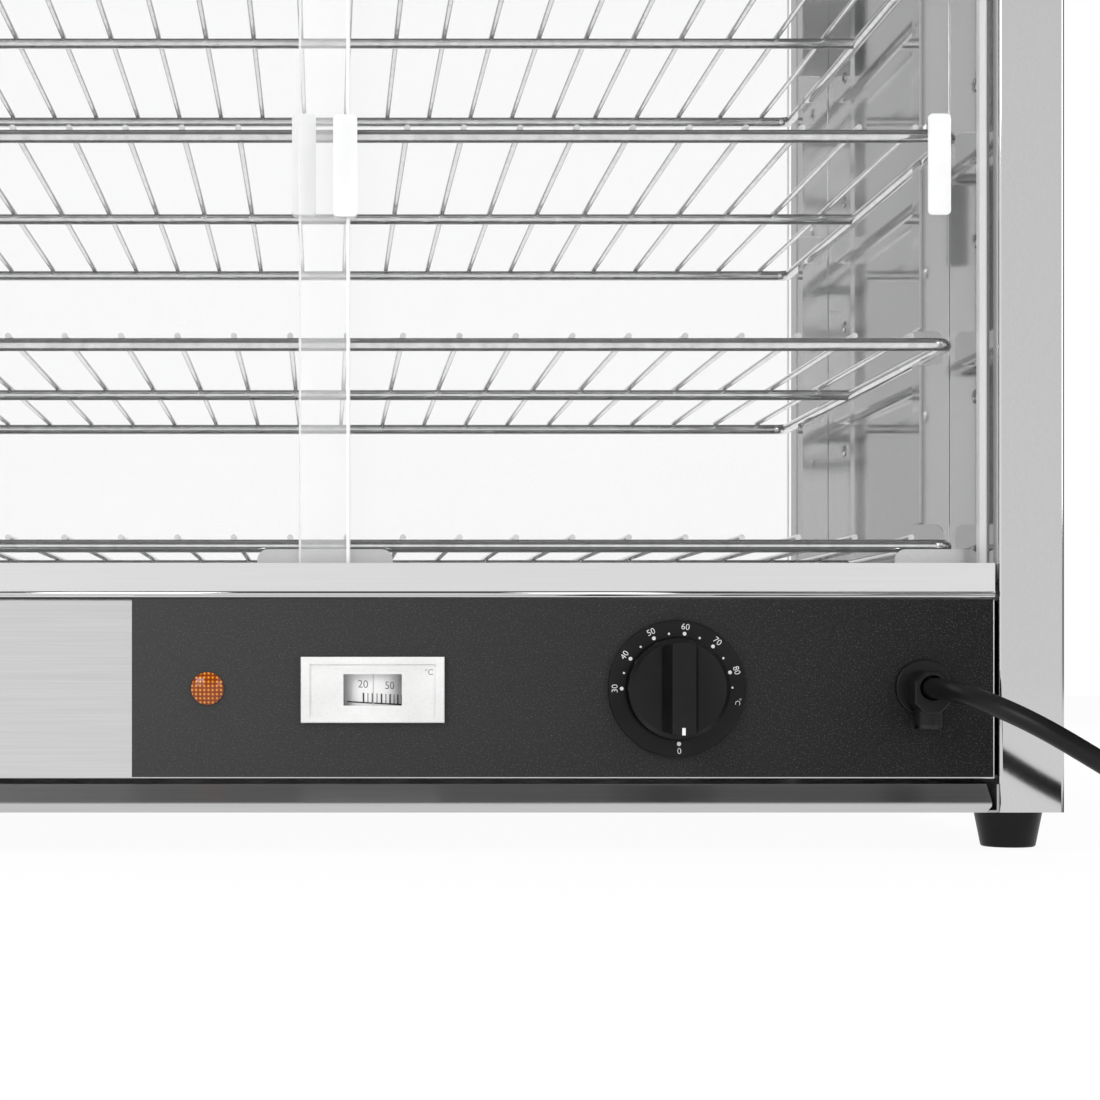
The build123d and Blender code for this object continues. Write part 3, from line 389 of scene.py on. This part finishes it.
by_slot = {
    "satin_steel": satin_along_x,
    "polished_steel": polished_post,
    "galvanised_steel": galvanised,
    "bright_wire": wire_chrome(),
    "black_overlay": speckled_black(),
    "glass": glass,
    "clear_grip": grip_plastic,
    "black_rubber": rubber,
    "black_plastic": black_plastic,
    "amber_lens": amber(),
    "white_plastic": white_plastic,
    "scale_white": lit_drum_white,
    "clear_window": window_glass,
    "heater_sheath": sheath,
    "brass": brass,
    "wire_insulation": insulation,
}
by_node = {
    "side_panel_left": side_steel,
    "side_panel_right": side_steel,
    "front_sill_track": lit_sill_steel,
    "wall_liner_left": polished_wall,
    "wall_liner_right": polished_wall,
    "ceiling_liner": polished_wall,
    "crumb_tray": lip_steel(),
    "heat_deflector": satin_along_y,
    "dial_ring": dial_black,
    "left_door_glass": left_glass,
    "right_door_glass": right_glass,
    "gland_hardware": dark_screw,
}
for name, node in nodes.items():
    node.data.materials.clear()
    node.data.materials.append(by_node.get(name, by_slot[slot_of[name]]))


def piece(name, mesh, material, body):
    """A new mesh piece that rides on a CAD body."""
    made = bpy.data.objects.new(name, mesh)
    scene.collection.objects.link(made)
    mesh.materials.append(material)
    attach(made, body)


# Mains cord: the free stretch repeats the solids' route, and a loop makes the coil
CORD = 9.0
EXIT = (266.6, -235.0, 73.2)
CORD_POINTS = [
    EXIT,
    (266.6, -262.0, 73.2),
    (277.0, -287.0, 68.5),
    (295.5, -305.0, 58.2),
    (320.5, -313.0, 42.0),
    (346.0, -313.8, 26.0),
    (370.0, -311.8, 13.8),
    (393.0, -308.2, 6.8),
    (413.0, -305.3, 4.6),
    (429.0, -305.3, 4.6),
]
COIL_X = 438.0
COIL_RADIUS = 57.46
TURN_PITCH = 9.6
LAYER = 9.6
FLOOR_Z = 4.6
HALF_TURN_POINTS = 9
INNER_HALF_TURNS = 5
OUTER_HALF_TURNS = 4
PLUG_RISE = 4.4
PLUG_RUN = 32.0


def coil_points():
    """Control points of the coil: in on the table, up a layer, out again, and on to the plug."""
    radii = [COIL_RADIUS - index * TURN_PITCH / 2 for index in range(INNER_HALF_TURNS + 1)]
    radii += [radii[-1] + (index + 1) * TURN_PITCH / 2 for index in range(OUTER_HALF_TURNS)]
    step = math.pi / HALF_TURN_POINTS
    y, z, heading = CORD_POINTS[-1][1], FLOOR_Z, 1
    points = []
    for index, radius in enumerate(radii):
        reach = radius / math.cos(step / 2)
        rise = LAYER if index == INNER_HALF_TURNS else 0
        for count in range(HALF_TURN_POINTS):
            angle = (count + 0.5) * step
            share = (1 - math.cos(angle)) / 2
            across = heading * reach * math.sin(angle)
            along = y + heading * (radius - reach * math.cos(angle))
            points.append((COIL_X + across, along, z + rise * share))
        y += 2 * heading * radius
        z += rise
        heading = -heading
    reach = COIL_RADIUS / math.cos(step / 2)
    for count in range(HALF_TURN_POINTS // 2):
        angle = (count + 0.5) * step
        along = y + COIL_RADIUS - reach * math.cos(angle)
        points.append((COIL_X + reach * math.sin(angle), along, z))
    side = (COIL_X + COIL_RADIUS, y + COIL_RADIUS, z)
    points += [
        side,
        (side[0], side[1] + PLUG_RUN / 3, z),
        (side[0], side[1] + PLUG_RUN * 2 / 3, z + PLUG_RISE),
        (side[0], side[1] + PLUG_RUN, z + PLUG_RISE),
        (side[0], side[1] + PLUG_RUN + CORD, z + PLUG_RISE),
    ]
    return points


def cord_curve():
    """The whole cord as one smooth spline."""
    points = CORD_POINTS + coil_points()
    curve = bpy.data.curves.new("mains_cord", "CURVE")
    curve.dimensions = "3D"
    curve.bevel_depth = CORD / 2 * MM
    curve.bevel_resolution = 5
    curve.resolution_u = 10
    curve.use_fill_caps = True
    spline = curve.splines.new("NURBS")
    spline.points.add(len(points) - 1)
    for place, point in zip(spline.points, points):
        place.co = (*mm(*point), 1)
    spline.order_u = 3
    spline.use_endpoint_u = True
    made = bpy.data.objects.new("mains_cord", curve)
    scene.collection.objects.link(made)
    curve.materials.append(cord_rubber)
    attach(made, "cabinet")
    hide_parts("power_cord", "cord_coil")


cord_curve()

# Printed marks are thin raised plates, gathered into one mesh each
MARK = 0.06
CAPITAL_SHARE = 0.7
THINNING = 0.012


def facing_front(x, y, z, turn=0.0):
    """Matrix that lays a flat drawing on a face turned to the operator, at a point."""
    upright = Matrix.Rotation(math.radians(90), 4, "X")
    return Matrix.Translation(mm(x, y, z)) @ upright @ Matrix.Rotation(math.radians(turn), 4, "Z")


def add_text(target, words, height, place):
    """Plain numbers or letters whose capitals have the given height."""
    curve = bpy.data.curves.new("glyphs", "FONT")
    curve.body = words
    curve.size = height * MM / CAPITAL_SHARE
    curve.align_x = "CENTER"
    curve.align_y = "CENTER"
    curve.offset = -THINNING * height * MM
    curve.extrude = MARK / 2 * MM
    holder = bpy.data.objects.new("glyphs", curve)
    mesh = bpy.data.meshes.new_from_object(holder)
    mesh.transform(place)
    target.from_mesh(mesh)
    bpy.data.meshes.remove(mesh)
    bpy.data.objects.remove(holder)


def add_dot(target, radius, place):
    """Flat round dot."""
    bmesh.ops.create_cone(
        target,
        cap_ends=True,
        segments=20,
        radius1=radius * MM,
        radius2=radius * MM,
        depth=MARK * MM,
        matrix=place,
    )


def add_bar(target, width, height, place):
    """Flat bar, width by height."""
    size = Matrix.Diagonal((width * MM, height * MM, MARK * MM, 1))
    bmesh.ops.create_cube(target, size=1.0, matrix=place @ size)


def finished(name, target, material, body):
    """The gathered mesh as a piece."""
    mesh = bpy.data.meshes.new(name)
    target.to_mesh(mesh)
    target.free()
    piece(name, mesh, material, body)


# Thermostat dial: numbers and dots around the knob
DIAL_X = 156.5
DIAL_FACE = OVERLAY_FACE - 3.0
KNOB_FACE = FRONT - 26.0
DOT_CIRCLE = 24.6
NUMBER_CIRCLE = 27.6
BIG_DOT = 0.85
SMALL_DOT = 0.5
OFF_DOT = 0.95
DIGIT = 2.7
UNIT = 2.2
DIAL_START = 180.0
DEGREES_PER_STEP = 16.3
LAST_STEP = 10
OFF_ANGLE = -88.0


def dial_place(radius, angle):
    """Place on the dial's ring, with the letters' tops turned outwards."""
    x = DIAL_X + radius * math.cos(math.radians(angle))
    z = CONTROL_Z + radius * math.sin(math.radians(angle))
    return facing_front(x, DIAL_FACE - MARK / 2, z, angle - 90)


dial = bmesh.new()
for step in range(LAST_STEP + 1):
    angle = DIAL_START - step * DEGREES_PER_STEP
    numbered = step % 2 == 0
    add_dot(dial, BIG_DOT if numbered else SMALL_DOT, dial_place(DOT_CIRCLE, angle))
    if numbered:
        add_text(dial, str(30 + 5 * step), DIGIT, dial_place(NUMBER_CIRCLE, angle))
add_dot(dial, SMALL_DOT, dial_place(DOT_CIRCLE, 1.0))
add_text(dial, "°C", UNIT, dial_place(NUMBER_CIRCLE, -12.0))
add_dot(dial, OFF_DOT, dial_place(DOT_CIRCLE, OFF_ANGLE))
add_text(dial, "0", DIGIT, dial_place(NUMBER_CIRCLE, OFF_ANGLE))
finished("dial_marks", dial, mark_white, "cabinet")

pointer = bmesh.new()
add_bar(pointer, 1.5, 3.2, facing_front(DIAL_X - 0.3, KNOB_FACE - MARK / 4, CONTROL_Z - 18.6))
finished("knob_mark", pointer, mark_white, "knob")

# Drum thermometer: the scale is drawn flat and then wrapped round the drum
METER_X = 21.2
METER_Z = 72.2
DRUM_RADIUS = 20.0
DRUM_Y = FRONT + 1.2 + DRUM_RADIUS
REST_READING = 30
DEGREES_PER_DEGREE = 1.16
SCALE_TILT = -1.1
FIRST_READING = 20
LAST_READING = 120
TICK = (4.2, -3.6)
BASE_LINE = (0.6, -5.9)
BASE_SEGMENTS = 60
WINDOW_FACE = OVERLAY_FACE - 0.8
FRAME_FACE = OVERLAY_FACE - 1.7


def along_scale(reading):
    """Distance round the drum from the window's middle to a reading."""
    return math.radians((reading - REST_READING) * DEGREES_PER_DEGREE) * DRUM_RADIUS


def at(u, v):
    """Place on the flat drawing of the scale."""
    return Matrix.Translation(mm(u, v, 0))


def wrap(target):
    """Bends a flat drawing, X along and Y up, round the drum."""
    for vertex in target.verts:
        u, v, proud = vertex.co / MM
        angle = u / DRUM_RADIUS
        reach = DRUM_RADIUS + MARK / 2 + proud
        vertex.co = mm(
            METER_X + reach * math.sin(angle),
            DRUM_Y - reach * math.cos(angle),
            METER_Z + v + SCALE_TILT * math.sin(angle),
        )


scale = bmesh.new()
tick_height, tick_middle = TICK
for reading in range(FIRST_READING, LAST_READING + 5, 5):
    wide = 0.7 if reading % 10 == 0 else 0.35
    add_bar(scale, wide, tick_height, at(along_scale(reading), tick_middle))
base_height, base_middle = BASE_LINE
first, last = along_scale(0), along_scale(LAST_READING)
length = (last - first) / BASE_SEGMENTS
for index in range(BASE_SEGMENTS):
    middle = first + (index + 0.5) * length
    add_bar(scale, length * 1.02, base_height, at(middle, base_middle))
wrap(scale)
finished("thermometer_scale", scale, mark_black, "thermometer_drum")

numbers = bmesh.new()
for reading in (20, 50, 80, 110):
    add_text(numbers, str(reading), 3.4, at(along_scale(reading) - 0.2, 2.2))
wrap(numbers)
finished("thermometer_numbers", numbers, mark_grey, "thermometer_drum")

hairline = bmesh.new()
add_bar(hairline, 0.5, 13.9, facing_front(METER_X + 0.3, WINDOW_FACE - MARK / 2, METER_Z))
finished("thermometer_hairline", hairline, hairline_grey, "cabinet")

unit = bmesh.new()
add_text(unit, "°C", 2.5, facing_front(46.3, FRAME_FACE - MARK / 2, 80.0))
finished("thermometer_unit", unit, mark_grey, "cabinet")

# Rolled lower edge of the sill, a bead along its whole length
BEAD_RADIUS = 1.5
BEAD_PROUD = 0.45
BEAD_SIDES = 24
sill_low, sill_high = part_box("front_sill_track")
bead = bmesh.new()
bead_length = sill_high[0] - sill_low[0]
bead_place = Matrix.Translation(
    (
        (sill_low[0] + sill_high[0]) / 2,
        (FRONT - BEAD_PROUD + BEAD_RADIUS) * MM,
        sill_low[2] + BEAD_RADIUS * MM,
    )
)
bmesh.ops.create_cone(
    bead,
    cap_ends=True,
    segments=BEAD_SIDES,
    radius1=BEAD_RADIUS * MM,
    radius2=BEAD_RADIUS * MM,
    depth=bead_length,
    matrix=bead_place @ Matrix.Rotation(math.radians(90), 4, "Y"),
)
for face in bead.faces:
    face.smooth = len(face.verts) == 4
finished("sill_rolled_edge", bead, side_steel, "cabinet")

# Floor, and soft studio light
FLOOR_HALF = 6.0
FLOOR_GLOW = 0.94
floor_mesh = bpy.data.meshes.new("floor")
floor_build = bmesh.new()
bmesh.ops.create_grid(floor_build, x_segments=1, y_segments=1, size=FLOOR_HALF)
floor_build.to_mesh(floor_mesh)
floor_build.free()
floor = bpy.data.objects.new("floor", floor_mesh)
scene.collection.objects.link(floor)

paper = Nodes("floor", grey(0.9), 0.7)
seen = paper.node("ShaderNodeLightPath")
direct = paper.math("MAXIMUM", seen.outputs["Is Camera Ray"], seen.outputs["Is Glossy Ray"])
direct = paper.math("MAXIMUM", direct, seen.outputs["Is Transmission Ray"])
glow = paper.node("ShaderNodeEmission")
glow.inputs["Color"].default_value = (1, 1, 1, 1)
blend = paper.node("ShaderNodeMixShader")
paper.link(paper.math("MULTIPLY", direct, FLOOR_GLOW), blend.inputs["Fac"])
paper.link(paper.shader.outputs["BSDF"], blend.inputs[1])
paper.link(glow.outputs["Emission"], blend.inputs[2])
paper.link(blend.outputs["Shader"], paper.tree.nodes["Material Output"].inputs["Surface"])
floor_mesh.materials.append(paper.material)

world = bpy.data.worlds.new("studio")
scene.world = world
world.use_nodes = True
sky = Tree(world.node_tree)
toward = sky.separate(sky.node("ShaderNodeTexCoord").outputs["Generated"])


def level_ramp(socket, stops):
    """Grey levels over a value, from (place, level) pairs."""
    return sky.ramp(socket, [(place, grey(level)) for place, level in stops])


# What polished metal sees: bright near the horizon, dark above it, and less bright to the sides
BRIGHTEST = 1.5
AMBIENT = 0.55
bands = level_ramp(
    sky.math("ABSOLUTE", toward["Z"]),
    [(0.0, 1.0), (0.26, 0.95), (0.46, 0.07), (0.72, 0.10), (1.0, 0.12)],
)
behind = level_ramp(
    sky.math("ABSOLUTE", toward["X"]),
    [(0.0, 0.667), (0.08, 0.62), (0.2, 0.33), (0.5, 0.22), (1.0, 0.15)],
)
ahead = level_ramp(
    sky.math("MULTIPLY_ADD", toward["X"], 0.5, 0.5),
    [(0.0, 0.8), (0.12, 0.8), (0.25, 0.667), (0.72, 0.62), (0.88, 0.24), (1.0, 0.17)],
)
is_behind = sky.math("GREATER_THAN", toward["Y"], 0.0)
is_ahead = sky.math("SUBTRACT", 1.0, is_behind)
sides = sky.math(
    "ADD", sky.math("MULTIPLY", behind, is_behind), sky.math("MULTIPLY", ahead, is_ahead)
)
mirrored_sky = sky.math("MULTIPLY", sky.math("MULTIPLY", bands, sides), BRIGHTEST)
path = sky.node("ShaderNodeLightPath").outputs
glossy = path["Is Glossy Ray"]
seen_directly = sky.math("MAXIMUM", path["Is Camera Ray"], path["Is Transmission Ray"])
lit = sky.math("MULTIPLY", sky.math("SUBTRACT", 1.0, glossy), AMBIENT)
indirect = sky.math("ADD", lit, sky.math("MULTIPLY", glossy, mirrored_sky))
hidden = sky.math("SUBTRACT", 1.0, seen_directly)
level = sky.math("ADD", seen_directly, sky.math("MULTIPLY", hidden, indirect))
sky.link(level, sky.tree.nodes["Background"].inputs["Color"])


def area_lamp(name, place, aim, size, power, mirrored=True):
    """Soft box aimed at a height over the origin, in metres; polished metal may not mirror it."""
    data = bpy.data.lights.new(name, "AREA")
    data.shape = "RECTANGLE"
    data.size, data.size_y = size
    data.energy = power
    lamp = bpy.data.objects.new(name, data)
    lamp.location = place
    way = Vector((0, 0, aim)) - Vector(place)
    lamp.rotation_euler = way.to_track_quat("-Z", "Y").to_euler()
    lamp.visible_glossy = mirrored
    scene.collection.objects.link(lamp)


area_lamp("key", (-1.3, -1.7, 1.3), 0.25, (1.2, 1.0), 20)
area_lamp("overhead", (0.0, -0.2, 2.1), 0.3, (1.8, 1.4), 24, mirrored=False)
area_lamp("fill", (1.6, -1.5, 0.8), 0.25, (0.9, 1.1), 8)
area_lamp("rear", (0.6, 2.0, 1.2), 0.3, (1.6, 1.0), 14, mirrored=False)
